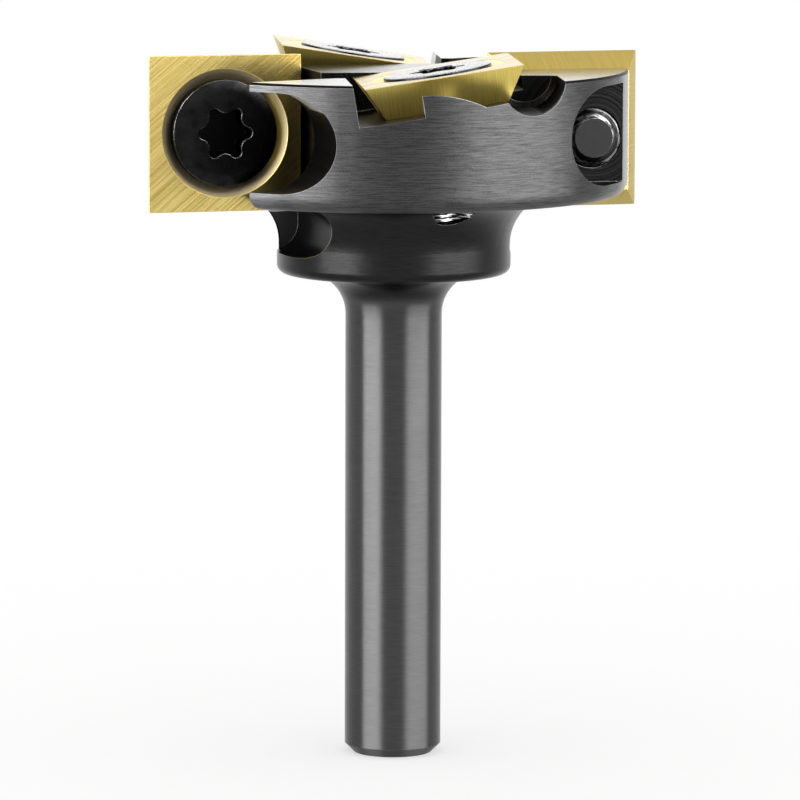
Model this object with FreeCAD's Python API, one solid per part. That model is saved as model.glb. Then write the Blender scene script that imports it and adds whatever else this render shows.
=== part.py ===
"""Surfacing router bit: a turned steel body with four indexable square inserts.

Millimetres, +Z up. The origin is the centre of the shank's lower end, and the Z axis is the
axis of rotation. Seen from above the bit turns counter-clockwise. The body repeats itself
after half a turn, so each station is described once, on the right or at the front.
"""
import FreeCAD, Part
import math
import os

Vector = FreeCAD.Vector
Rotation = FreeCAD.Rotation
Placement = FreeCAD.Placement

UP = Vector(0, 0, 1)

# Turned body, from the end of the shank upwards
shank_diameter = 8.0
shank_length = 40.2
shank_end_chamfer = 0.75
neck_fillet = 3.4
collar_diameter = 19.34
collar_height = 6.67
collar_edge_round = 0.75
flare_radius = 4.2
flange_lower_round = 1.2
flange_upper_chamfer = 0.2

# Square inserts, all four alike: the face is the large side
insert_width = 12.86
insert_thickness = 2.85
insert_relief = 27.0
insert_face_land = 1.13
insert_bore_clearance = 0.35
countersink_angle = 84.0

# Countersunk screws with a six-lobed socket, all four alike
screw_diameter = 4.9
screw_length = 9.2
head_rim_gap = 0.9
head_stand_out = 0.12
tip_chamfer = 0.6
lobe_count = 6
socket_width = 4.5
socket_waist = 3.27
lobe_radius = 0.39
socket_depth = 1.9
cone_clearance = 0.02
thread_clearance = 0.05

# Side stations, whose inserts cut with their upright outer edge
cutting_diameter = 41.0
edge_stand_out = 1.2
side_face_set_back = 1.13
side_edge_stand_up = 1.24
side_edge_hang = 1.39
side_wall_gap = 0.49
side_pocket_drop = 1.38
side_pocket_front = 1.83
side_tool_diameter = 4.3
seat_wall = 5.67

# Chip gullet before each side insert
gullet_depth = 8.5
gullet_wall_angle = 17.4
gullet_break_through = 0.27

# Round-ended slots in the rim: one lets the driver in, the other clears the screw's tip
slot_width = 8.1
slot_rise = 0.4
driver_slot_inset = 0.57
tip_slot_outset = 0.23
driver_slot_start = 5.0

# Top stations, whose inserts lie nearly flat and cut with their raised leading edge
top_yaw = -10.9
top_incline = 8.75
top_slot_wall = 4.61
top_rim_inset = 1.66
top_face_stand_up = 0.61
top_inner_gap = 0.07
top_trailing_gap = 0.97
top_leading_gap = 0.47
top_rim_gap = 2.19
notch_length = 5.3
trailing_wall_end = 0.7
gullet_join = 2.4

# Half-round groove before each top insert
groove_diameter = 5.34
groove_lead = 0.97
groove_rise = 0.05
groove_end = 2.9
groove_end_chamfer = 0.45

# Tapped holes: right through behind the side seats, blind under the top inserts
tap_mouth_clearance = 0.17
tap_drill_diameter = 4.2
tap_drill_point_angle = 118.0
tap_run_out = 1.3
drill_run_out = 2.0

# Sizes that follow
flange_diameter = cutting_diameter - 2 * edge_stand_out
flange_thickness = insert_width - side_edge_stand_up - side_edge_hang
underside_z = shank_length + collar_height
flange_top_z = underside_z + flange_thickness
insert_half = insert_width / 2
insert_taper = insert_thickness * math.tan(math.radians(insert_relief))
insert_bore = screw_diameter + 2 * insert_bore_clearance
countersink_diameter = insert_width - 2 * insert_face_land
screw_head_diameter = countersink_diameter - 2 * head_rim_gap
cone_slope = math.tan(math.radians(countersink_angle / 2))
contact_depth = head_rim_gap / cone_slope
hole_diameter = screw_diameter + 2 * thread_clearance

side_face_y = -side_face_set_back
side_seat_y = side_face_y - insert_thickness
side_insert_x = cutting_diameter / 2 - insert_half
side_insert_z = flange_top_z + side_edge_stand_up - insert_half
side_wall_x = side_insert_x - insert_half - side_wall_gap
side_front_y = side_face_y + side_pocket_front
side_floor_z = side_insert_z - insert_half - side_pocket_drop
driver_slot_x = side_insert_x - driver_slot_inset
tip_slot_x = side_insert_x + tip_slot_outset
tip_slot_floor_y = side_seat_y - seat_wall
slot_z = side_insert_z + slot_rise

top_outset = flange_diameter / 2 - top_rim_inset - insert_half
top_lead = insert_half + top_trailing_gap + top_slot_wall - (driver_slot_x - slot_width / 2)

BEYOND = 1.5 * cutting_diameter     # a tool's length where it leaves the metal


def rounded_wire(corners):
    """A closed wire through corners (point, radius), each rounded where its radius is not zero."""
    ends = []
    edges = []
    count = len(corners)
    for i, (corner, radius) in enumerate(corners):
        before = (corners[i - 1][0] - corner).normalize()
        after = (corners[(i + 1) % count][0] - corner).normalize()
        half = before.getAngle(after) / 2
        if radius == 0:
            ends.append((corner, corner))
            continue
        start = corner + before * (radius / math.tan(half))
        stop = corner + after * (radius / math.tan(half))
        middle = corner + (before + after).normalize() * (radius / math.sin(half) - radius)
        edges.append(Part.Arc(start, middle, stop).toShape())
        ends.append((start, stop))
    for i in range(count):
        edges.append(Part.makeLine(ends[i][1], ends[(i + 1) % count][0]))
    return Part.Wire(Part.__sortEdges__(edges))


def box_between(low, high):
    """A box from its lowest corner to its highest."""
    size = high - low
    return Part.makeBox(size.x, size.y, size.z, low)


def prism(points, direction):
    """A solid with a flat polygon as its base."""
    return Part.Face(Part.makePolygon(points + [points[0]])).extrude(direction)


def turned_body():
    """Shank, collar and flange, turned from one bar."""
    shank = shank_diameter / 2
    collar = collar_diameter / 2
    flange = flange_diameter / 2
    profile = [
        (Vector(0, 0, 0), 0),
        (Vector(shank - shank_end_chamfer, 0, 0), 0),
        (Vector(shank, 0, shank_end_chamfer), 0),
        (Vector(shank, 0, shank_length), neck_fillet),
        (Vector(collar, 0, shank_length), collar_edge_round),
        (Vector(collar, 0, underside_z), flare_radius),
        (Vector(flange, 0, underside_z), flange_lower_round),
        (Vector(flange, 0, flange_top_z - flange_upper_chamfer), 0),
        (Vector(flange - flange_upper_chamfer, 0, flange_top_z), 0),
        (Vector(0, 0, flange_top_z), 0),
    ]
    return Part.Face(rounded_wire(profile)).revolve(Vector(), UP, 360)


def side_pocket():
    """Pocket with the insert's seat, and the tool's round corner low in the collar."""
    radius = side_tool_diameter / 2
    corner_x = side_wall_x + radius
    pocket = box_between(Vector(side_wall_x, side_seat_y, side_floor_z),
                         Vector(BEYOND, side_front_y, flange_top_z + BEYOND))
    corner = Part.makeCylinder(radius, BEYOND, Vector(corner_x, side_seat_y, side_floor_z), Vector(0, 1, 0))
    return pocket.fuse(corner)


def gullet():
    """Space for the chips before the side insert, open above, below and outwards."""
    wall_y = side_front_y + gullet_depth
    slope = math.tan(math.radians(gullet_wall_angle))
    floor_z = underside_z - gullet_break_through
    outline = [
        Vector(side_wall_x, side_front_y, floor_z),
        Vector(BEYOND, side_front_y, floor_z),
        Vector(BEYOND, wall_y + (BEYOND - side_wall_x) * slope, floor_z),
        Vector(side_wall_x, wall_y, floor_z),
    ]
    return prism(outline, UP * BEYOND)


def rim_slot(x, start_y, direction):
    """A round-ended slot through the rim, cut along Y and open outwards."""
    radius = slot_width / 2
    end = Part.makeCylinder(radius, BEYOND, Vector(x, start_y, slot_z), Vector(0, direction, 0))
    far_y = start_y + direction * BEYOND
    run = box_between(Vector(x, min(start_y, far_y), slot_z - radius),
                      Vector(BEYOND, max(start_y, far_y), slot_z + radius))
    return end.fuse(run)


def tapped_hole(end, placement):
    """A hole down from an insert's seat, whose mouth clears the screw's cone; end lists its last corners."""
    seat = -insert_thickness
    tap = hole_diameter / 2
    mouth = countersink_diameter / 2 - insert_thickness * cone_slope + tap_mouth_clearance
    corners = [
        Vector(0, 0, seat),
        Vector(mouth, 0, seat),
        Vector(tap, 0, seat - (mouth - tap) / cone_slope),
    ] + end
    hole = Part.Face(Part.makePolygon(corners + [corners[0]])).revolve(Vector(), UP, 360)
    hole.Placement = placement
    return hole


def side_placement():
    """From the flat frame of an insert, face up, to the side station on the right."""
    return Placement(Vector(side_insert_x, side_face_y, side_insert_z), Rotation(Vector(1, 0, 0), -90))


def side_screw_hole():
    """Tapped hole from the side seat through to the slot behind it."""
    end_z = -insert_thickness - seat_wall
    end = [Vector(hole_diameter / 2, 0, end_z), Vector(0, 0, end_z)]
    return tapped_hole(end, side_placement())


def top_placement():
    """From the flat frame of a top insert, face up, to its place in the body."""
    turn = Rotation(UP, top_yaw)
    centre = turn.multVec(Vector(top_lead, -top_outset, flange_top_z + top_face_stand_up))
    return Placement(centre, turn * Rotation(Vector(0, 1, 0), -top_incline))


def top_pocket():
    """Pocket of a top insert, in the insert's frame: X leads, -Y is outwards."""
    seat = -insert_thickness
    inner_y = insert_half + top_inner_gap
    trailing_x = -insert_half - top_trailing_gap
    leading_x = insert_half + top_leading_gap
    notch_end_x = trailing_x + notch_length
    rim_foot_y = -(insert_half - insert_taper) - top_rim_gap
    lean = BEYOND * math.tan(math.radians(insert_relief))

    notch = box_between(Vector(trailing_x, -BEYOND, seat), Vector(notch_end_x, inner_y, BEYOND))
    join = box_between(Vector(trailing_x - gullet_join, trailing_wall_end, seat),
                       Vector(trailing_x, inner_y, BEYOND))
    section = [
        Vector(notch_end_x, inner_y, seat),
        Vector(notch_end_x, rim_foot_y, seat),
        Vector(notch_end_x, rim_foot_y - lean, seat + BEYOND),
        Vector(notch_end_x, inner_y, seat + BEYOND),
    ]
    behind_rim = prism(section, Vector(leading_x - notch_end_x, 0, 0))
    pocket = notch.fuse([join, behind_rim])
    pocket.Placement = top_placement()
    return pocket


def top_screw_hole():
    """Blind tapped hole square to a top seat, ending in a drilled point."""
    drill = tap_drill_diameter / 2
    tap_end = head_stand_out - screw_length - tap_run_out
    drill_end = tap_end - drill_run_out
    point = drill_end - drill / math.tan(math.radians(tap_drill_point_angle / 2))
    end = [
        Vector(hole_diameter / 2, 0, tap_end),
        Vector(drill, 0, tap_end),
        Vector(drill, 0, drill_end),
        Vector(0, 0, point),
    ]
    return tapped_hole(end, top_placement())


def leading_groove():
    """Half-round groove that frees the leading edge of a top insert, with a flat inner end."""
    radius = groove_diameter / 2
    x = top_lead + insert_half * math.cos(math.radians(top_incline)) + groove_lead
    end_y = -top_outset + groove_end
    corners = [
        Vector(0, 0, 0),
        Vector(radius - groove_end_chamfer, 0, 0),
        Vector(radius, 0, groove_end_chamfer),
        Vector(radius, 0, BEYOND),
        Vector(0, 0, BEYOND),
    ]
    tool = Part.Face(Part.makePolygon(corners + [corners[0]])).revolve(Vector(), UP, 360)
    turn = Rotation(UP, top_yaw)
    place = turn.multVec(Vector(x, end_y, flange_top_z + groove_rise))
    tool.Placement = Placement(place, turn * Rotation(Vector(1, 0, 0), 90))
    return tool


def cutter_body():
    """The turned body with the stations milled into it twice, half a turn apart."""
    station = [
        side_pocket(),
        gullet(),
        rim_slot(driver_slot_x, driver_slot_start, 1),
        rim_slot(tip_slot_x, tip_slot_floor_y, -1),
        side_screw_hole(),
        top_pocket(),
        top_screw_hole(),
        leading_groove(),
    ]
    cuts = station + [half_turn(tool) for tool in station]
    return turned_body().cut(cuts).removeSplitter()


def insert():
    """A square insert in its own frame: face up at z = 0, seat below, countersunk bore."""
    foot = insert_half - insert_taper
    section = [
        Vector(-insert_half, -insert_half, 0),
        Vector(insert_half, -insert_half, 0),
        Vector(foot, -insert_half, -insert_thickness),
        Vector(-foot, -insert_half, -insert_thickness),
    ]
    along = prism(section, Vector(0, insert_width, 0))
    across = along.copy()
    across.rotate(Vector(), UP, 90)
    plate = along.common(across)

    bore = insert_bore / 2
    sink = countersink_diameter / 2
    cone_depth = (sink - bore) / cone_slope
    cone = Part.makeCone(bore, sink, cone_depth, Vector(0, 0, -cone_depth))
    hole = Part.makeCylinder(bore, insert_thickness, Vector(0, 0, -insert_thickness))
    return plate.cut([cone, hole])


def socket_outline():
    """Closed outline of the lobed socket: round lobes joined by round waists."""
    pitch = 360 / lobe_count
    lobe_centre = socket_width / 2 - lobe_radius
    waist = socket_waist / 2
    across = lobe_centre * math.cos(math.radians(pitch / 2))
    waist_radius = ((lobe_centre ** 2 + waist ** 2 - 2 * waist * across - lobe_radius ** 2)
                    / (2 * (lobe_radius - waist + across)))
    waist_centre = waist + waist_radius
    share = lobe_radius / (lobe_radius + waist_radius)

    def polar(distance, degrees):
        angle = math.radians(degrees)
        return Vector(distance * math.cos(angle), distance * math.sin(angle), 0)

    def joint(lobe, hollow):
        centre = polar(lobe_centre, lobe)
        return centre + (polar(waist_centre, hollow) - centre) * share

    edges = []
    for i in range(lobe_count):
        lobe = i * pitch
        hollow = lobe + pitch / 2
        start = joint(lobe, lobe - pitch / 2)
        stop = joint(lobe, hollow)
        edges.append(Part.Arc(start, polar(socket_width / 2, lobe), stop).toShape())
        edges.append(Part.Arc(stop, polar(waist, hollow), joint(lobe + pitch, hollow)).toShape())
    return Part.Wire(edges)


def screw():
    """A screw in its insert's frame: the head lies in the countersink, the shank points down."""
    head = screw_head_diameter / 2
    shank = screw_diameter / 2
    rim_z = -contact_depth + cone_clearance / math.sin(math.radians(countersink_angle / 2))
    neck_z = rim_z - (head - shank) / cone_slope
    tip_z = head_stand_out - screw_length
    corners = [
        Vector(0, 0, head_stand_out),
        Vector(head, 0, head_stand_out),
        Vector(head, 0, rim_z),
        Vector(shank, 0, neck_z),
        Vector(shank, 0, tip_z + tip_chamfer),
        Vector(shank - tip_chamfer, 0, tip_z),
        Vector(0, 0, tip_z),
    ]
    solid = Part.Face(Part.makePolygon(corners + [corners[0]])).revolve(Vector(), UP, 360)
    socket = Part.Face(socket_outline()).extrude(UP * socket_depth)
    socket.translate(Vector(0, 0, head_stand_out - socket_depth))
    return solid.cut(socket)


def placed(shape, placement):
    """A copy of a shape, moved to a station."""
    piece = shape.copy()
    piece.Placement = placement.multiply(piece.Placement)
    return piece


def half_turn(shape):
    """A copy of a shape, turned half round the bit's axis."""
    return placed(shape, Placement(Vector(), Rotation(UP, 180)))


def pieces():
    """Every piece of the bit by name."""
    made = {"cutter_body": cutter_body()}
    stations = (("side", "right", "left", side_placement()), ("top", "front", "rear", top_placement()))
    for row, first, second, placement in stations:
        for kind, shape in (("insert", insert()), ("screw", screw())):
            here = placed(shape, placement)
            made["%s_%s_%s" % (row, kind, first)] = here
            made["%s_%s_%s" % (row, kind, second)] = half_turn(here)
    return made


os.makedirs("parts", exist_ok=True)
for name, shape in pieces().items():
    shape.exportStep("parts/%s.step" % name)
    print("%-20s %9.2f mm3" % (name, shape.Volume))
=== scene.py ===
"""Looks of a surfacing router bit: dark turned steel, gold-coated square inserts, black screws.

Metres, +Z up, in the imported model's own frame. Sizes below are written in millimetres, as on a
drawing, and MM turns them into metres.
"""
import math

import bpy
from mathutils import Matrix, Vector

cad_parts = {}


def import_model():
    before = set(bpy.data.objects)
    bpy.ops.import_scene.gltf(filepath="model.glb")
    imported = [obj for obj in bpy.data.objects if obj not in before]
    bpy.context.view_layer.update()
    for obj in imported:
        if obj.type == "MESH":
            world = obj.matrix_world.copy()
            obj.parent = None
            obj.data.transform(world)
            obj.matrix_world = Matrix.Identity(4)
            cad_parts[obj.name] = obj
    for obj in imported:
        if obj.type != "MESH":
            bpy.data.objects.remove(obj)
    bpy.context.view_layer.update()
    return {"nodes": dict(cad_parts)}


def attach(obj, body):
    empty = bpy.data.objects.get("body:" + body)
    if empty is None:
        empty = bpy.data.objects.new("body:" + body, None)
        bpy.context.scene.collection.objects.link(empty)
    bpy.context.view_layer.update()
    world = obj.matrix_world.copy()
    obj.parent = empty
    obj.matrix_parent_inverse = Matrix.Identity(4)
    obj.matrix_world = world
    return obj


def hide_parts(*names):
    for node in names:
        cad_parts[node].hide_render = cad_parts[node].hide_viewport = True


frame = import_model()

MM = 0.001

# Stations of the inserts and screws
FLANGE_TOP = 57.1
INSERT_WIDTH = 12.86
INSERT_THICKNESS = 2.85
INSERT_RELIEF = math.radians(27.0)
INSERT_BORE = 5.6
COUNTERSINK = 10.6
COUNTERSINK_HALF_ANGLE = math.radians(42.0)
CUTTING_RADIUS = 20.5
SIDE_FACE_SET_BACK = 1.13
SIDE_EDGE_STAND_UP = 1.24
TOP_YAW = math.radians(-10.9)
TOP_INCLINE = math.radians(8.75)
TOP_LEAD = 2.56
TOP_OUTSET = 11.21
TOP_FACE_STAND_UP = 0.61

# Inserts: broken edges and corners, and the flat ring round the countersink
INSERT_EDGE = 0.03
INSERT_CORNER = 0.04
INSERT_LAND = 0.4

# Screws
SCREW_RADIUS = 2.45
TIP_RADIUS = 1.6
SCREW_LENGTH = 9.2
HEAD_RADIUS = 4.4
HEAD_STAND_OUT = 0.12
HEAD_EDGE = 0.14
HEAD_CLEARANCE = 0.02
TIP_CHAMFER = 0.6
THREAD_PITCH = 0.8
THREAD_DEPTH = 0.49
THREAD_FLANK = 2.6
THREAD_CREST = 0.15
SOCKET_RADIUS = 2.25
SOCKET_WAIST = 1.635
SOCKET_LOBE = 0.46
SOCKET_DEPTH = 1.9
SOCKET_EDGE = 0.06
SOCKET_FOOT_IN = 0.08
SOCKET_FOOT_UP = 0.12

# Fineness of the meshes
INSERT_POINTS = 192
SCREW_POINTS = 180
RINGS_PER_TURN = 14
SHARP_ANGLE = math.radians(28)

# Body zones, by radius and height
SHANK_RADIUS = 4.0
COLLAR_RADIUS = 9.67
COLLAR_UNDERSIDE = 40.2
COLLAR_ROUND = 0.75
FLARE_RADIUS = 4.2
FLANGE_UNDERSIDE = 46.87
SLOT_X = 14.3
SLOT_Z = 52.31
RIM_RADIUS = 19.3
RIM_ROUND = 1.2
RIM_END_X = 14.0
RIM_GLINT_X = 16.7
# The top is darker inside this radius
TOP_DARK_MIDDLE_RADIUS = 11.0

# Round the top inserts' seats. Lead is measured across an insert, towards its cutting edge. Past
# SEAT_LIT_LEAD a seat is painted lighter, a painted light for the inserts' bevels to mirror.
SEAT_LOW = 53.5
SEAT_HIGH = 56.7
SEAT_RADIUS = 9.5
SEAT_LIT_LEAD = 8.0
CHAMFER_LOW = 53.1
CHAMFER_HIGH = 56.75
CHAMFER_RADIUS = 18.7
HORN_LOW = 54.9
HORN_RADIUS = 15.75
TAPPED_RADIUS = 2.54
TAPPED_TOP = -3.05

# Zones of the inserts and screws in their own frame, where the insert's face is at height 0
SINK_REACH = 0.2
SINK_TOP = -0.025
CRESCENT_RADIUS = 4.95
CRESCENT_X = -3.85
THREAD_START = -3.2
SOCKET_TOP = -0.05
SOCKET_BOTTOM = -2.35
SOCKET_REACH = SOCKET_RADIUS + 0.1

# Heights above the floor from which a bevel or countersink is a top insert's
TOP_BEVEL_LOW = 53.75
TOP_SINK_LOW = 55.25


def grey(value):
    """A neutral colour."""
    return (value, value, value * 1.01, 1.0)


# Colours of the steel. A pair goes from where its noise or mask is low to where it is high.
RIM_GREYS = (grey(0.030), grey(0.066))
RIM_LINE_GREY = grey(0.012)
# Painted highlight on the rim's ends, and a painted glint further out
RIM_END_HIGHLIGHT_GREYS = (grey(0.11), grey(0.05))
RIM_PAINTED_GLINT_GREY = grey(0.42)
RIM_SPECK_GREY = grey(0.10)
SHANK_GREYS = (grey(0.058), grey(0.078))
COLLAR_GREYS = (grey(0.013), grey(0.024))
# Pockets: blackened steel darkened further with painted shade
POCKET_SHADE_GREYS = (grey(0.003), grey(0.016))
# Milled walls under the flange: painted shade, near black except on the flat walls
GULLET_SHADE_GREYS = (grey(0.002), grey(0.080))
# Seats: painted light on their leading part
SEAT_PAINTED_LIGHT_GREYS = (grey(0.045), grey(0.20))
# Horn: painted highlight
HORN_HIGHLIGHT_GREY = grey(0.80)
CHAMFER_GREY = grey(0.36)
# Tapped holes: painted highlights and shade in stripes stand for the thread
TAPPED_THREAD_SHADING_GREYS = (grey(0.006), grey(0.45))
TOP_GREYS = (grey(0.40), grey(0.55))
TOP_MIDDLE_GREY = grey(0.05)
# Painted highlight on the steel's edges
EDGE_HIGHLIGHT_STEEL = grey(0.40)
# Cut faces reflect less at grazing angles, a painted shade of the pockets
CUT_SHADE_TINT = grey(0.65)

# Colours of the gold coating
FACE_GOLDS = ((0.40, 0.30, 0.08, 1.0), (0.68, 0.54, 0.195, 1.0))
BEVEL_GOLDS = ((0.35, 0.26, 0.045, 1.0), (0.52, 0.40, 0.11, 1.0))
WARM_GOLD = (0.54, 0.375, 0.11, 1.0)
# Countersinks: painted shade, and a crescent of painted highlight
SINK_SHADE_GOLDS = ((0.22, 0.185, 0.115, 1.0), (0.30, 0.25, 0.15, 1.0))
CRESCENT_HIGHLIGHT_GOLD = (0.60, 0.46, 0.12, 1.0)
# Top inserts' bevels and countersinks: painted light
TOP_BEVEL_LIGHT_GOLDS = ((0.52, 0.40, 0.080, 1.0), (0.74, 0.59, 0.175, 1.0))
TOP_SINK_LIGHT_GOLD = (0.78, 0.66, 0.36, 1.0)
# Painted highlight on the gold's edges
EDGE_HIGHLIGHT_GOLD = (0.90, 0.80, 0.48, 1.0)

# Colours of the screws
SCREW_BLACKS = (grey(0.008), grey(0.020))
# Thread ridge: painted glints
RIDGE_GLINT_GREYS = (grey(0.006), grey(0.28))
TIP_GREYS = (grey(0.013), grey(0.026))
# Face-up heads: painted sheen
LYING_HEAD_SHEEN_GREYS = (grey(0.02), grey(0.68))
# Sockets: painted shade
SOCKET_SHADE_GREY = grey(0.006)
# Painted highlight on the screws' edges
EDGE_HIGHLIGHT_BLACK = grey(0.42)
# Sockets reflect less at grazing angles, painted shade
SOCKET_SHADE_TINT = grey(0.4)
FULL_TINT = grey(1.0)

# Roughness. A pair goes from where its noise is low to where it is high.
POCKET_ROUGH = 0.34
RIM_ROUGH = 0.42
COLLAR_ROUGH = 0.28
SHANK_ROUGH = (0.34, 0.40)
TOP_ROUGH = 0.16
SEAT_ROUGH = 0.36
BEVEL_ROUGH = (0.46, 0.36)
FACE_ROUGH = (0.25, 0.18)
SINK_ROUGH = 0.62
SCREW_ROUGH = (0.30, 0.22)
THREAD_ROUGH = 0.36

# Depth of the surface marks, width of the rounded edges and their painted highlight, and how far an
# edge turns (cosines)
TURNED_RELIEF = 0.012 * MM
MILLED_RELIEF = 0.05 * MM
GROUND_RELIEF = 0.016 * MM
OXIDE_RELIEF = 0.012 * MM
STEEL_EDGE = 0.06 * MM
GOLD_EDGE = 0.04 * MM
EDGE_TURN = (0.995, 0.9)
GRINDING_ANGLE = math.radians(-40)

# Studio
FLOOR_WIDTH = 8000
FLOOR_WHITE = (0.9, 0.9, 0.9, 1)
FLOOR_GLOW = 0.505
SKY_LIGHT = 0.55
WHITE = (1, 1, 1, 1)
# name: width, height, power in watts, azimuth from the camera, distance, height above the floor
SOFTBOXES = {
    "softbox_left": (420, 760, 9.0, -54, 420, 300),
    "softbox_right": (560, 760, 8.6, 63, 420, 300),
    "softbox_back": (800, 360, 0.25, 180, 520, 220),
}

# Camera, fitted to the photograph
IMAGE_PX = 800
FOCAL_PX = 6026
CAMERA_AZIMUTH = math.radians(-15.7)
CAMERA_ELEVATION = math.radians(7.53)
CAMERA_DISTANCE = 500.0
CAMERA_ROLL = math.radians(0.16)
AIM_RIGHT = 0.55
AIM_HEIGHT = 29.52
SENSOR_WIDTH = 36.0
CLIP_START = 0.01
CLIP_END = 50


# Stations

def side_matrix():
    """From an insert's flat frame, face up, to the side station on the right."""
    half = INSERT_WIDTH / 2
    place = Vector((CUTTING_RADIUS - half, -SIDE_FACE_SET_BACK,
                    FLANGE_TOP + SIDE_EDGE_STAND_UP - half))
    return Matrix.Translation(place * MM) @ Matrix.Rotation(math.radians(-90), 4, "X")


def top_matrix():
    """From an insert's flat frame, face up, to the top station at the front."""
    turn = Matrix.Rotation(TOP_YAW, 4, "Z")
    place = turn @ Vector((TOP_LEAD, -TOP_OUTSET, FLANGE_TOP + TOP_FACE_STAND_UP))
    return Matrix.Translation(place * MM) @ turn @ Matrix.Rotation(-TOP_INCLINE, 4, "Y")


HALF_TURN = Matrix.Rotation(math.pi, 4, "Z")
STATIONS = {
    "side_%s_right": side_matrix(),
    "side_%s_left": HALF_TURN @ side_matrix(),
    "top_%s_front": top_matrix(),
    "top_%s_rear": HALF_TURN @ top_matrix(),
}


# Meshes of the inserts and screws

def ring_mesh(name, rings, solid=True):
    """A mesh from rings of equally many points, joined in order.

    A solid one has a face over each end. Otherwise the last ring joins the first.
    """
    count = len(rings[0])
    points = [Vector(p) * MM for ring in rings for p in ring]
    starts = [i * count for i in range(len(rings))]
    pairs = list(zip(starts, starts[1:]))
    if not solid:
        pairs.append((starts[-1], 0))
    faces = []
    for low, high in pairs:
        for j in range(count):
            k = (j + 1) % count
            faces.append((low + j, low + k, high + k, high + j))
    if solid:
        faces.append(tuple(reversed(range(count))))
        faces.append(tuple(starts[-1] + j for j in range(count)))
    mesh = bpy.data.meshes.new(name)
    mesh.from_pydata(points, [], faces)
    mesh.update()
    return mesh


def polar_ring(reach, z, count):
    """Points round an axis, equally spaced in angle, each as far out as reach(angle) says."""
    ring = []
    for j in range(count):
        angle = 2 * math.pi * j / count
        radius = reach(angle)
        ring.append((radius * math.cos(angle), radius * math.sin(angle), z))
    return ring


def round_ring(radius, z, count):
    """Points round a circle."""
    return polar_ring(lambda angle: radius, z, count)


def square_ring(half, z, count):
    """Points round a square with its corners cut by a small amount."""
    def reach(angle):
        c, s = abs(math.cos(angle)), abs(math.sin(angle))
        return min(half / max(c, s), (2 * half - INSERT_CORNER) / (c + s))
    return polar_ring(reach, z, count)


def insert_mesh():
    """A square insert: ground face, bevelled sides, countersink, edges barely broken."""
    count = INSERT_POINTS
    edge = INSERT_EDGE
    half = INSERT_WIDTH / 2
    foot = half - INSERT_THICKNESS * math.tan(INSERT_RELIEF)
    bore = INSERT_BORE / 2
    sink = COUNTERSINK / 2
    cone_depth = (sink - bore) / math.tan(COUNTERSINK_HALF_ANGLE)
    rings = [
        round_ring(bore, -cone_depth, count),
        round_ring(sink - 0.5 * edge, -0.8 * edge, count),
        round_ring(sink + edge, 0, count),
        round_ring(sink + INSERT_LAND, 0, count),
        square_ring(half - edge, 0, count),
        square_ring(half, -edge, count),
        square_ring(foot, -INSERT_THICKNESS + edge, count),
        square_ring(foot - edge, -INSERT_THICKNESS, count),
        round_ring(bore + edge, -INSERT_THICKNESS, count),
    ]
    return ring_mesh("insert", rings, solid=False)


def socket_reach(angle):
    """Distance from the axis to the six-lobed socket's wall, made of arcs that touch."""
    fold = abs((angle + math.pi / 6) % (math.pi / 3) - math.pi / 6)
    lobe_centre = SOCKET_RADIUS - SOCKET_LOBE
    across = lobe_centre * math.cos(math.pi / 6)
    waist_radius = ((lobe_centre ** 2 + SOCKET_WAIST ** 2 - 2 * SOCKET_WAIST * across
                     - SOCKET_LOBE ** 2) / (2 * (SOCKET_LOBE - SOCKET_WAIST + across)))
    waist_centre = SOCKET_WAIST + waist_radius
    share = SOCKET_LOBE / (SOCKET_LOBE + waist_radius)
    joint_x = lobe_centre + (waist_centre * math.cos(math.pi / 6) - lobe_centre) * share
    joint_y = waist_centre * math.sin(math.pi / 6) * share
    if fold < math.atan2(joint_y, joint_x):
        off = lobe_centre * math.sin(fold)
        return lobe_centre * math.cos(fold) + math.sqrt(SOCKET_LOBE ** 2 - off ** 2)
    off = waist_centre * math.sin(math.pi / 6 - fold)
    return waist_centre * math.cos(math.pi / 6 - fold) - math.sqrt(waist_radius ** 2 - off ** 2)


def socket_ring(grow, z, count, share=1.0):
    """Points round the socket's outline, moved outwards by an amount or shrunk by a share."""
    return polar_ring(lambda angle: socket_reach(angle) * share + grow, z, count)


def thread_ring(z, count, start_z, tip_z):
    """Points round the threaded shank: a helical ridge that fades in, cut by the tip's chamfer."""
    fade = min(1.0, (start_z - z) / THREAD_PITCH)
    envelope = TIP_RADIUS + (z - tip_z) * (SCREW_RADIUS - TIP_RADIUS) / TIP_CHAMFER

    def reach(angle):
        phase = (z / THREAD_PITCH + angle / (2 * math.pi)) % 1.0
        groove = min(1.0, max(0.0, THREAD_FLANK * abs(phase - 0.5) - THREAD_CREST))
        return min(envelope, SCREW_RADIUS - THREAD_DEPTH * fade * groove)
    return polar_ring(reach, z, count)


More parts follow.
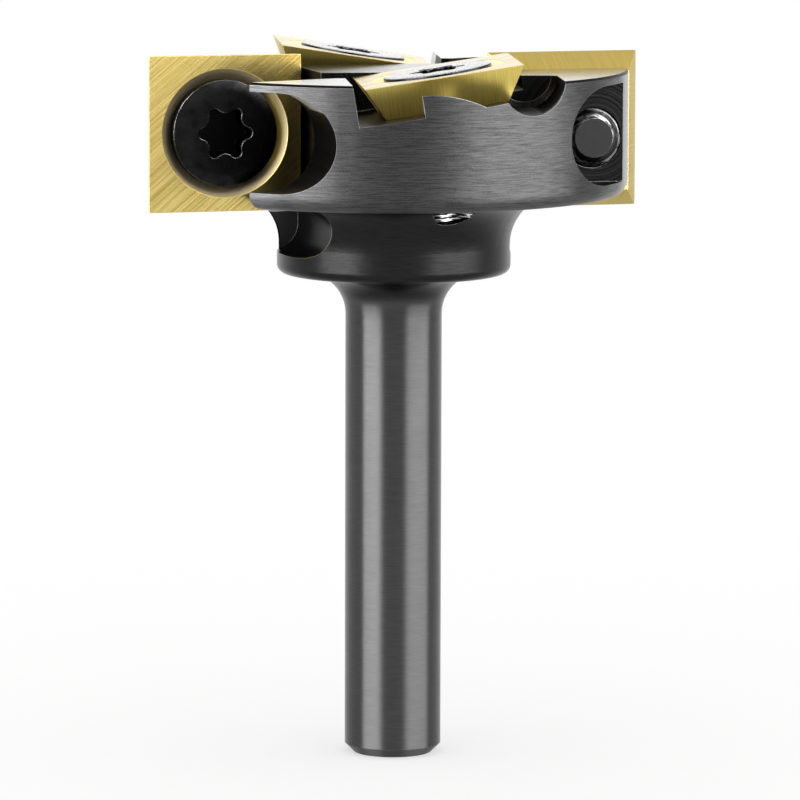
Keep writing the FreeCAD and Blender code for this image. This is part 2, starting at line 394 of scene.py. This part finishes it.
def screw_mesh():
    """A countersunk screw: six-lobed socket, flat head, cone, thread and chamfered tip."""
    count = SCREW_POINTS
    top = HEAD_STAND_OUT
    floor_z = top - SOCKET_DEPTH
    slope = math.tan(COUNTERSINK_HALF_ANGLE)
    contact = (COUNTERSINK / 2 - HEAD_RADIUS) / slope
    rim_z = HEAD_CLEARANCE / math.sin(COUNTERSINK_HALF_ANGLE) - contact
    neck_z = rim_z - (HEAD_RADIUS - SCREW_RADIUS) / slope
    tip_z = top - SCREW_LENGTH
    rings = [
        socket_ring(0, floor_z, count, 0.25),
        socket_ring(0, floor_z, count, 0.7),
        socket_ring(-SOCKET_FOOT_IN, floor_z, count),
        socket_ring(0, floor_z + SOCKET_FOOT_UP, count),
        socket_ring(0, top - SOCKET_EDGE, count),
        socket_ring(SOCKET_EDGE, top, count),
        round_ring(0.5 * (SOCKET_RADIUS + HEAD_RADIUS), top, count),
        round_ring(HEAD_RADIUS - HEAD_EDGE, top, count),
        round_ring(HEAD_RADIUS - 0.3 * HEAD_EDGE, top - 0.3 * HEAD_EDGE, count),
        round_ring(HEAD_RADIUS, top - HEAD_EDGE, count),
        round_ring(HEAD_RADIUS, rim_z, count),
        round_ring(SCREW_RADIUS, neck_z, count),
    ]
    steps = int((neck_z - tip_z) / THREAD_PITCH * RINGS_PER_TURN)
    for i in range(1, steps + 1):
        rings.append(thread_ring(neck_z + (tip_z - neck_z) * i / steps, count, neck_z, tip_z))
    return ring_mesh("screw", rings)


def finish_piece(mesh, name, material, matrix, node):
    """Place a mesh as the piece that stands for a node."""
    mesh.materials.append(material)
    mesh.polygons.foreach_set("use_smooth", [True] * len(mesh.polygons))
    mesh.set_sharp_from_angle(angle=SHARP_ANGLE)
    piece = bpy.data.objects.new(name, mesh)
    bpy.context.collection.objects.link(piece)
    piece.matrix_world = matrix
    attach(piece, "root")
    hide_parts(node)


# Materials

class Shader:
    """The node tree of a material or world, with one call for each kind of node used here."""

    def __init__(self, owner, output="ShaderNodeOutputMaterial"):
        self.owner = owner
        owner.use_nodes = True
        self.tree = owner.node_tree
        self.tree.nodes.clear()
        self.output = self.node(output)

    def node(self, kind, inputs=None, **settings):
        made = self.tree.nodes.new(kind)
        for key, value in settings.items():
            setattr(made, key, value)
        for key, value in (inputs or {}).items():
            self.feed(made.inputs[key], value)
        return made

    def feed(self, socket, value):
        if isinstance(value, bpy.types.NodeSocket):
            self.tree.links.new(value, socket)
        else:
            socket.default_value = value

    def surface(self, shader):
        """Put a shader on the surface, and give back the material or world."""
        self.tree.links.new(shader.outputs[0], self.output.inputs["Surface"])
        return self.owner

    def metal(self, colour, roughness, normal, **more):
        inputs = {"Base Color": colour, "Roughness": roughness, "Normal": normal, "Metallic": 1.0}
        inputs.update({key.replace("_", " ").title(): value for key, value in more.items()})
        return self.surface(self.node("ShaderNodeBsdfPrincipled", inputs))

    # Numbers and masks

    def math(self, operation, a, b=0.0):
        return self.node("ShaderNodeMath", {0: a, 1: b}, operation=operation).outputs[0]

    def times(self, first, *others):
        """The product. Of masks, 1 where all of them are."""
        for other in others:
            first = self.math("MULTIPLY", first, other)
        return first

    def most(self, first, *others):
        """The greatest. Of masks, 1 where any of them is."""
        for other in others:
            first = self.math("MAXIMUM", first, other)
        return first

    def minus(self, a, b):
        return self.math("SUBTRACT", a, b)

    def outside(self, mask):
        """1 where a mask is 0."""
        return self.minus(1.0, mask)

    def step(self, value, low, high):
        """0 at low, 1 at high and a smooth rise between."""
        return self.node("ShaderNodeMapRange",
                         {"Value": value, "From Min": low, "From Max": high},
                         interpolation_type="SMOOTHSTEP").outputs["Result"]

    def above(self, value, limit, soft):
        """1 above a limit and 0 below it, over a soft band to each side."""
        return self.step(value, limit - soft, limit + soft)

    def below(self, value, limit, soft):
        """1 below a limit and 0 above it, over a soft band to each side."""
        return self.step(value, limit + soft, limit - soft)

    def range(self, value, low, high, to_low=0.0, to_high=1.0):
        return self.node("ShaderNodeMapRange",
                         {"Value": value, "From Min": low, "From Max": high,
                          "To Min": to_low, "To Max": to_high}).outputs["Result"]

    def spread(self, noise, to_low=0.0, to_high=1.0):
        """The span that most of a noise lies in, taken to another span."""
        return self.range(noise, 0.3, 0.7, to_low, to_high)

    def blend(self, share, a, b):
        """A number between two numbers."""
        return self.node("ShaderNodeMix", {"Factor": share, 2: a, 3: b},
                         data_type="FLOAT").outputs[0]

    def mix(self, share, a, b):
        """A colour between two colours."""
        return self.node("ShaderNodeMix", {"Factor": share, 6: a, 7: b},
                         data_type="RGBA").outputs[2]

    def edge(self, radius):
        """1 where a sharp edge is near, 0 on open faces, and the rounded normal."""
        rounded = self.node("ShaderNodeBevel", {"Radius": radius}, samples=6).outputs["Normal"]
        flat = self.node("ShaderNodeNewGeometry").outputs["Normal"]
        turn = self.vector("DOT_PRODUCT", rounded, flat)
        return self.step(turn, *EDGE_TURN), rounded

    def seen(self):
        """1 for rays from the camera, a reflection or a view through glass, 0 for the others."""
        path = self.node("ShaderNodeLightPath").outputs
        return self.most(path["Is Camera Ray"], path["Is Glossy Ray"],
                         path["Is Transmission Ray"])

    # Places and directions

    def vector(self, operation, a, b=(0, 0, 0)):
        outputs = self.node("ShaderNodeVectorMath", {0: a, 1: b}, operation=operation).outputs
        return outputs["Value" if operation in ("DOT_PRODUCT", "LENGTH") else "Vector"]

    def stretched(self, place, x, y, z):
        return self.vector("MULTIPLY", place, (x, y, z))

    def split(self, vector):
        return self.node("ShaderNodeSeparateXYZ", {0: vector}).outputs

    def joined(self, x, y=0.0, z=0.0):
        return self.node("ShaderNodeCombineXYZ", {0: x, 1: y, 2: z}).outputs[0]

    def place(self):
        """Where a point lies in the piece's own frame, in millimetres."""
        coordinates = self.node("ShaderNodeTexCoord").outputs["Object"]
        return self.stretched(coordinates, 1 / MM, 1 / MM, 1 / MM)

    def from_axis(self, place):
        """Distance from the piece's own axis."""
        return self.vector("LENGTH", self.stretched(place, 1, 1, 0))

    def along_top_screw(self, x, y, z):
        """Height along the axis of the nearer top screw, and the distance from that axis."""
        front = self.times(self.math("SIGN", y), -1.0)
        place = self.joined(self.times(x, front), self.times(y, front), z)
        centre = top_matrix().translation / MM
        axis = tuple(top_matrix().to_3x3() @ Vector((0, 0, 1)))
        offset = self.vector("SUBTRACT", place, tuple(centre))
        height = self.vector("DOT_PRODUCT", offset, axis)
        return height, self.vector("LENGTH", self.vector("CROSS_PRODUCT", offset, axis))

    # Noise and relief

    def noise(self, place, scale, detail, roughness, seed):
        return self.node("ShaderNodeTexNoise",
                         {"Vector": place, "Scale": scale, "Detail": detail,
                          "Roughness": roughness, "W": seed},
                         noise_dimensions="4D").outputs["Fac"]

    def drawn(self, place, stretch, detail, roughness, seed):
        """Noise drawn out by a share along each axis."""
        return self.noise(self.stretched(place, *stretch), 1.0, detail, roughness, seed)

    def turned(self, place, around, along, detail, roughness, seed):
        """Noise drawn out round the axis, as a lathe leaves it."""
        return self.drawn(place, (around, around, along), detail, roughness, seed)

    def bump(self, height, distance, strength, normal):
        return self.node("ShaderNodeBump", {"Height": height, "Distance": distance,
                                            "Strength": strength,
                                            "Normal": normal}).outputs["Normal"]


def body_material():
    """Blackened turned steel: bright brushed rim, glossy shank, black collar, and pockets darkened
    with painted shade.
    """
    s = Shader(bpy.data.materials.new("dark_steel"))
    place = s.place()
    x, y, z = s.split(place)
    side = s.vector("ABSOLUTE", place)
    side_x = s.split(side)[0]
    radius = s.from_axis(place)
    lead = s.times(x, s.math("SIGN", y), -1.0)
    normal = s.node("ShaderNodeNewGeometry").outputs["True Normal"]
    up = s.split(normal)[2]
    outwards = s.vector("NORMALIZE", s.stretched(place, 1, 1, 0))
    facing = s.vector("DOT_PRODUCT", outwards, normal)

    # Zones turned on the lathe
    lower_round = s.times(s.below(z, FLANGE_UNDERSIDE + RIM_ROUND, 0.1),
                          s.above(facing, 0.15, 0.05))
    rim = s.times(s.above(radius, RIM_RADIUS - RIM_ROUND, 0.1),
                  s.most(s.above(facing, 0.95, 0.02), lower_round))
    shank = s.times(s.below(radius, SHANK_RADIUS + 0.5, 0.4),
                    s.below(z, COLLAR_UNDERSIDE - 1.8, 0.8))
    top = s.times(s.above(z, FLANGE_TOP - 0.035, 0.015), s.above(up, 0.94, 0.04))
    under = s.below(z, FLANGE_UNDERSIDE + 0.05, 0.07)

    # How far a point lies inside the collar and its flare, where only a milled wall can be
    rise = s.most(s.minus(z, FLANGE_UNDERSIDE - FLARE_RADIUS), 0.0)
    reach = s.math("SQRT", s.most(s.minus(FLARE_RADIUS ** 2, s.times(rise, rise)), 0.0))
    depth = s.minus(s.minus(COLLAR_RADIUS + FLARE_RADIUS, reach), radius)
    milled = s.times(under, s.above(depth, 0.14, 0.06),
                     s.above(z, COLLAR_UNDERSIDE + COLLAR_ROUND + 0.05, 0.05))

    # The top inserts' seats, with the chamfer and the leaning horn of rim left beside them, and
    # the tapped holes below
    seat = s.times(s.above(z, SEAT_LOW, 0.1), s.below(z, SEAT_HIGH, 0.1),
                   s.above(up, 0.96, 0.01), s.above(radius, SEAT_RADIUS, 0.5))
    chamfer = s.times(s.above(up, 0.4, 0.1), s.below(up, 0.935, 0.035),
                      s.above(radius, CHAMFER_RADIUS, 0.1),
                      s.above(z, CHAMFER_LOW, 0.1), s.below(z, CHAMFER_HIGH, 0.05))
    horn = s.times(s.below(facing, 0.5, 0.1), s.above(z, HORN_LOW, 0.1),
                   s.below(lead, 0.0, 0.5), s.above(radius, HORN_RADIUS, 0.25))
    height, off = s.along_top_screw(x, y, z)
    tapped = s.times(s.below(off, TAPPED_RADIUS, 0.02), s.below(height, TAPPED_TOP, 0.15),
                     s.above(depth, 0.05, 0.03))
    cut = s.times(s.outside(s.most(rim, shank, top, seat)), s.outside(s.minus(under, milled)))

    # Marks of the tools
    threads = s.turned(place, 0.9, 9.0, detail=2.0, roughness=0.6, seed=12.0)
    streaks = s.turned(place, 0.55, 11.0, detail=3.0, roughness=0.6, seed=1.0)
    fine = s.turned(place, 0.9, 30.0, detail=2.0, roughness=0.5, seed=2.0)
    scratches = s.turned(place, 0.8, 16.0, detail=4.0, roughness=0.7, seed=6.0)
    lines = s.turned(place, 0.5, 17.0, detail=1.5, roughness=0.6, seed=9.0)
    patches = s.noise(place, 0.35, detail=3.0, roughness=0.55, seed=3.0)
    speckle = s.noise(place, 9.0, detail=3.0, roughness=0.7, seed=8.0)
    across = s.vector("SUBTRACT", side, (SLOT_X, 0, SLOT_Z))
    from_slot = s.vector("LENGTH", s.stretched(across, 1, 0, 1))
    arcs = s.noise(s.joined(from_slot), 5.5, detail=3.0, roughness=0.7, seed=4.0)
    line = s.above(lines, 0.54, 0.04)

    # Colours of the zones, a later one over an earlier one
    rim_colour = s.mix(s.range(scratches, 0.34, 0.66), *RIM_GREYS)
    rim_colour = s.mix(s.times(line, 0.65), rim_colour, RIM_LINE_GREY)
    # The rim's ends, to each side, are painted lighter as a highlight, and further out a painted
    # glint
    rim_colour = s.mix(s.above(side_x, RIM_END_X, 1.5), rim_colour, s.mix(line, *RIM_END_HIGHLIGHT_GREYS))
    rim_colour = s.mix(s.above(side_x, RIM_GLINT_X, 0.9), rim_colour, RIM_PAINTED_GLINT_GREY)
    rim_colour = s.mix(s.spread(speckle, 0.0, 0.35), rim_colour, RIM_SPECK_GREY)
    flat_wall = s.above(s.math("ABSOLUTE", s.split(normal)[1]), 0.825, 0.075)
    # The top is dark in the middle and lighter further out
    top_colour = s.mix(s.above(radius, TOP_DARK_MIDDLE_RADIUS, 1.5), TOP_MIDDLE_GREY,
                       s.mix(s.spread(patches), *TOP_GREYS))
    # Pockets and other cut faces start near black, painted shade, with milling arcs
    colour = s.mix(s.range(arcs, 0.42, 0.68), *POCKET_SHADE_GREYS)
    for zone, zone_colour in (
            (rim, rim_colour),
            (under, s.mix(s.spread(fine), *COLLAR_GREYS)),
            # Milled walls under the flange: painted shade, lighter on the flat walls
            (milled, s.mix(flat_wall, *GULLET_SHADE_GREYS)),
            # Seats: lighter past a lead, painted light
            (seat, s.mix(s.above(lead, SEAT_LIT_LEAD, 0.5), *SEAT_PAINTED_LIGHT_GREYS)),
            # Horn: painted near white as a highlight
            (horn, HORN_HIGHLIGHT_GREY),
            (chamfer, CHAMFER_GREY),
            # Tapped holes: striped painted highlight and shade for the thread
            (tapped, s.mix(s.above(threads, 0.55, 0.05), *TAPPED_THREAD_SHADING_GREYS)),
            (shank, s.mix(s.spread(fine), *SHANK_GREYS)),
            (top, top_colour)):
        colour = s.mix(zone, colour, zone_colour)

    # Painted highlight along the edges, where no thread or gullet is
    edge_highlight, rounded = s.edge(STEEL_EDGE)
    edge_highlight = s.times(edge_highlight, s.range(patches, 0.35, 0.65, 0.35, 1.0),
                   s.outside(s.most(tapped, milled)))
    colour = s.mix(s.times(edge_highlight, s.range(speckle, 0.35, 0.6, 0.15, 0.7)), colour, EDGE_HIGHLIGHT_STEEL)

    # Roughness and relief of the zones
    rough = POCKET_ROUGH
    for zone, zone_rough in (
            (rim, s.times(s.spread(streaks, 0.80, 1.20), RIM_ROUGH)),
            (under, COLLAR_ROUGH),
            (shank, s.spread(patches, *SHANK_ROUGH)),
            (top, TOP_ROUGH),
            (seat, SEAT_ROUGH)):
        rough = s.blend(zone, rough, zone_rough)

    brushing = s.blend(shank, s.math("ADD", scratches, s.times(fine, 0.5)), s.times(fine, 0.6))
    relief = s.bump(brushing, TURNED_RELIEF, 0.6, rounded)
    milling = s.times(s.outside(s.most(rim, under)), arcs)
    relief = s.bump(milling, MILLED_RELIEF, 0.7, relief)
    around = s.node("ShaderNodeTangent", direction_type="RADIAL", axis="Z").outputs[0]
    # Cut faces get a darker grazing reflection, painted shade
    return s.metal(colour, rough, relief, tangent=around, anisotropic_rotation=0.25,
                   anisotropic=s.most(s.times(rim, 0.8), shank),
                   specular_tint=s.mix(cut, FULL_TINT, CUT_SHADE_TINT))


def gold_material():
    """Ground carbide with a gold coating: diagonal grinding on the face, lines down the bevels."""
    s = Shader(bpy.data.materials.new("gold_coating"))
    place = s.place()
    x, _, z = s.split(place)
    radius = s.from_axis(place)
    nx, ny, nz = s.split(s.node("ShaderNodeTexCoord").outputs["Normal"])
    flat = s.above(s.math("ABSOLUTE", nz), 0.95, 0.02)
    along_x = s.above(s.minus(s.math("ABSOLUTE", nx), s.math("ABSOLUTE", ny)), 0.0, 0.05)

    # Grinding marks
    turned = s.node("ShaderNodeVectorRotate", {"Vector": place, "Angle": GRINDING_ANGLE},
                    rotation_type="Z_AXIS").outputs[0]
    grind = s.drawn(turned, (0.06, 6.0, 0.3), detail=2.0, roughness=0.6, seed=1.0)
    fine = s.drawn(turned, (0.3, 18.0, 0.3), detail=2.0, roughness=0.5, seed=5.0)
    lines_x = s.drawn(place, (0.15, 12.0, 0.15), detail=3.0, roughness=0.6, seed=2.0)
    lines_y = s.drawn(place, (12.0, 0.15, 0.15), detail=3.0, roughness=0.6, seed=2.0)
    lines = s.blend(flat, s.blend(along_x, lines_y, lines_x),
                    s.math("ADD", s.times(grind, 0.7), s.times(fine, 0.3)))
    patches = s.noise(place, 0.25, detail=2.0, roughness=0.5, seed=7.0)
    bevel_share = s.range(lines, 0.32, 0.68)

    colour = s.mix(flat, s.mix(bevel_share, *BEVEL_GOLDS),
                   s.mix(s.range(lines, 0.40, 0.58), *FACE_GOLDS))
    colour = s.mix(s.range(patches, 0.35, 0.7, 0.0, 0.35), colour, WARM_GOLD)

    # The countersink: how wide its cone would be on the face. Its cone is darkened with painted
    # shade, and a crescent of it gets a painted highlight
    wide = s.minus(radius, s.times(z, math.tan(COUNTERSINK_HALF_ANGLE)))
    sink = s.times(s.below(wide, COUNTERSINK / 2 + SINK_REACH, 0.1), s.below(z, SINK_TOP, 0.015))
    colour = s.mix(sink, colour, s.mix(s.spread(fine), *SINK_SHADE_GOLDS))
    crescent_highlight = s.times(sink, s.below(x, CRESCENT_X, 0.45), s.below(radius, CRESCENT_RADIUS, 0.1))
    colour = s.mix(crescent_highlight, colour, CRESCENT_HIGHLIGHT_GOLD)

    # The bevels and countersinks of the top inserts are painted lighter, as painted light, told by
    # their place in the scene
    geometry = s.node("ShaderNodeNewGeometry").outputs
    level = s.split(geometry["Position"])[2]
    tilt = s.split(geometry["True Normal"])[2]
    top_bevel = s.times(s.below(tilt, -0.35, 0.05), s.above(tilt, -0.6, 0.05),
                        s.above(level, TOP_BEVEL_LOW * MM, 0.25 * MM), s.outside(sink))
    colour = s.mix(top_bevel, colour, s.mix(bevel_share, *TOP_BEVEL_LIGHT_GOLDS))
    top_sink = s.times(sink, s.above(tilt, 0.4, 0.1),
                       s.above(level, TOP_SINK_LOW * MM, 0.25 * MM))
    colour = s.mix(top_sink, colour, TOP_SINK_LIGHT_GOLD)

    # Painted highlight along the edges
    edge_highlight, rounded = s.edge(GOLD_EDGE)
    colour = s.mix(s.times(edge_highlight, 0.5), colour, EDGE_HIGHLIGHT_GOLD)
    rough = s.blend(flat, s.spread(lines, *BEVEL_ROUGH), s.spread(lines, *FACE_ROUGH))
    rough = s.blend(sink, rough, SINK_ROUGH)
    relief = s.bump(lines, GROUND_RELIEF, 0.8, rounded)
    return s.metal(colour, rough, relief, anisotropic=0.25)


def screw_material():
    """Black oxide on hardened steel, a little scuffed."""
    s = Shader(bpy.data.materials.new("black_screws"))
    place = s.place()
    x, y, z = s.split(place)
    radius = s.from_axis(place)
    scuffs = s.noise(place, 0.9, detail=4.0, roughness=0.6, seed=1.0)
    grain = s.noise(place, 14.0, detail=3.0, roughness=0.6, seed=2.0)
    dashes = s.turned(place, 1.0, 9.0, detail=3.0, roughness=0.7, seed=4.0)
    colour = s.mix(s.range(scuffs, 0.35, 0.7), *SCREW_BLACKS)

    # The thread's ridge gets painted glints in dashes, and the tip is a dull disc
    thread = s.below(z, THREAD_START, 0.2)
    turn = s.math("ADD", s.math("DIVIDE", s.math("ARCTAN2", y, x), 2 * math.pi),
                  s.math("DIVIDE", z, THREAD_PITCH))
    crest = s.below(s.math("ABSOLUTE", s.minus(s.math("FRACT", turn), 0.5)), 0.21, 0.05)
    ridge = s.mix(s.times(s.range(crest, 0.0, 1.0, 0.12, 1.0), s.above(dashes, 0.5, 0.06)),
                  *RIDGE_GLINT_GREYS)
    nz = s.split(s.node("ShaderNodeTexCoord").outputs["Normal"])[2]
    disc = s.mix(s.spread(grain), *TIP_GREYS)
    colour = s.mix(thread, colour, s.mix(s.below(nz, -0.935, 0.035), ridge, disc))

    # A head that lies face up gets a painted sheen in grains, and a socket is darkened with painted
    # shade
    up = s.split(s.node("ShaderNodeNewGeometry").outputs["True Normal"])[2]
    lying = s.times(s.above(up, 0.85, 0.05), s.above(z, SOCKET_TOP, 0.05))
    colour = s.mix(lying, colour, s.mix(s.above(grain, 0.475, 0.045), *LYING_HEAD_SHEEN_GREYS))
    socket = s.times(s.below(z, SOCKET_TOP, 0.05), s.above(z, SOCKET_BOTTOM, 0.05),
                     s.below(radius, SOCKET_REACH, 0.05))
    colour = s.mix(socket, colour, SOCKET_SHADE_GREY)

    # Painted highlight along the edges, outside the socket
    edge_highlight, rounded = s.edge(STEEL_EDGE)
    edge_highlight = s.times(edge_highlight, s.outside(socket), s.range(scuffs, 0.4, 0.6, 0.25, 0.9))
    colour = s.mix(edge_highlight, colour, EDGE_HIGHLIGHT_BLACK)
    rough = s.blend(thread, s.spread(scuffs, *SCREW_ROUGH), THREAD_ROUGH)
    relief = s.bump(s.math("ADD", grain, scuffs), OXIDE_RELIEF, 0.5, rounded)
    # The socket gets a darker grazing reflection, painted shade
    return s.metal(colour, rough, relief, specular_tint=s.mix(socket, FULL_TINT, SOCKET_SHADE_TINT))


# Pieces

steel = body_material()
for slot in frame["nodes"]["cutter_body"].material_slots:
    slot.material = steel

gold = gold_material()
black = screw_material()
for pattern, matrix in STATIONS.items():
    node = pattern % "insert"
    finish_piece(insert_mesh(), "ground_" + node, gold, matrix, node)
    node = pattern % "screw"
    finish_piece(screw_mesh(), "threaded_" + node, black, matrix, node)


# Studio

def world():
    """White surroundings for the camera and for reflections, softer for the light they give."""
    s = Shader(bpy.data.worlds.new("studio"), "ShaderNodeOutputWorld")
    strength = s.range(s.seen(), 0.0, 1.0, SKY_LIGHT, 1.0)
    light = s.node("ShaderNodeBackground", {"Color": WHITE, "Strength": strength})
    bpy.context.scene.world = s.surface(light)


def floor_material():
    """A white floor that keeps the object's shadow."""
    s = Shader(bpy.data.materials.new("pale_floor"))
    lit = s.node("ShaderNodeBsdfDiffuse", {"Color": FLOOR_WHITE})
    glow = s.node("ShaderNodeEmission", {"Color": WHITE, "Strength": s.times(s.seen(), FLOOR_GLOW)})
    return s.surface(s.node("ShaderNodeAddShader", {0: lit.outputs[0], 1: glow.outputs[0]}))


def floor_sheet():
    """The floor, a flat square."""
    half = FLOOR_WIDTH / 2 * MM
    mesh = bpy.data.meshes.new("floor")
    mesh.from_pydata([(-half, -half, 0), (half, -half, 0), (half, half, 0), (-half, half, 0)],
                     [], [(0, 1, 2, 3)])
    mesh.materials.append(floor_material())
    made = bpy.data.objects.new("floor", mesh)
    bpy.context.collection.objects.link(made)
    return made


def towards(azimuth, distance, height):
    """A frame at a place round the object, facing its axis. Azimuth 0 is the camera's side."""
    turn = Matrix.Rotation(CAMERA_AZIMUTH + math.radians(azimuth), 4, "Z")
    place = Matrix.Translation(Vector((0, -distance, height)) * MM)
    return turn @ place @ Matrix.Rotation(math.pi, 4, "Z")


def softbox(name, width, height, power, matrix, unlit):
    """A large soft lamp, unseen by the camera, that leaves one object unlit."""
    lamp = bpy.data.lights.new(name, "AREA")
    lamp.shape = "ELLIPSE"
    lamp.size = width * MM
    lamp.size_y = height * MM
    lamp.energy = power
    made = bpy.data.objects.new(name, lamp)
    bpy.context.collection.objects.link(made)
    made.matrix_world = matrix @ Matrix.Rotation(math.radians(-90), 4, "X")
    made.visible_camera = False
    receivers = bpy.data.collections.new(name + "_light")
    receivers.objects.link(unlit)
    receivers.collection_objects[0].light_linking.link_state = "EXCLUDE"
    made.light_linking.receiver_collection = receivers


def camera():
    """The photograph's camera."""
    data = bpy.data.cameras.new("camera")
    data.sensor_width = SENSOR_WIDTH
    data.lens = SENSOR_WIDTH * FOCAL_PX / IMAGE_PX
    data.clip_start = CLIP_START
    data.clip_end = CLIP_END
    level = Matrix.Rotation(CAMERA_AZIMUTH, 4, "Z")
    aim = level @ Vector((AIM_RIGHT, 0, AIM_HEIGHT))
    tilt = Matrix.Rotation(math.radians(90) - CAMERA_ELEVATION, 4, "X")
    back = Matrix.Translation(Vector((0, 0, CAMERA_DISTANCE)) * MM)
    made = bpy.data.objects.new("camera", data)
    bpy.context.collection.objects.link(made)
    made.matrix_world = (Matrix.Translation(aim * MM) @ level @ tilt @ back
                         @ Matrix.Rotation(CAMERA_ROLL, 4, "Z"))
    bpy.context.scene.camera = made


world()
floor = floor_sheet()
for name, (width, height, power, azimuth, distance, lift) in SOFTBOXES.items():
    softbox(name, width, height, power, towards(azimuth, distance, lift), floor)
camera()
bpy.context.scene.view_settings.view_transform = "Standard"
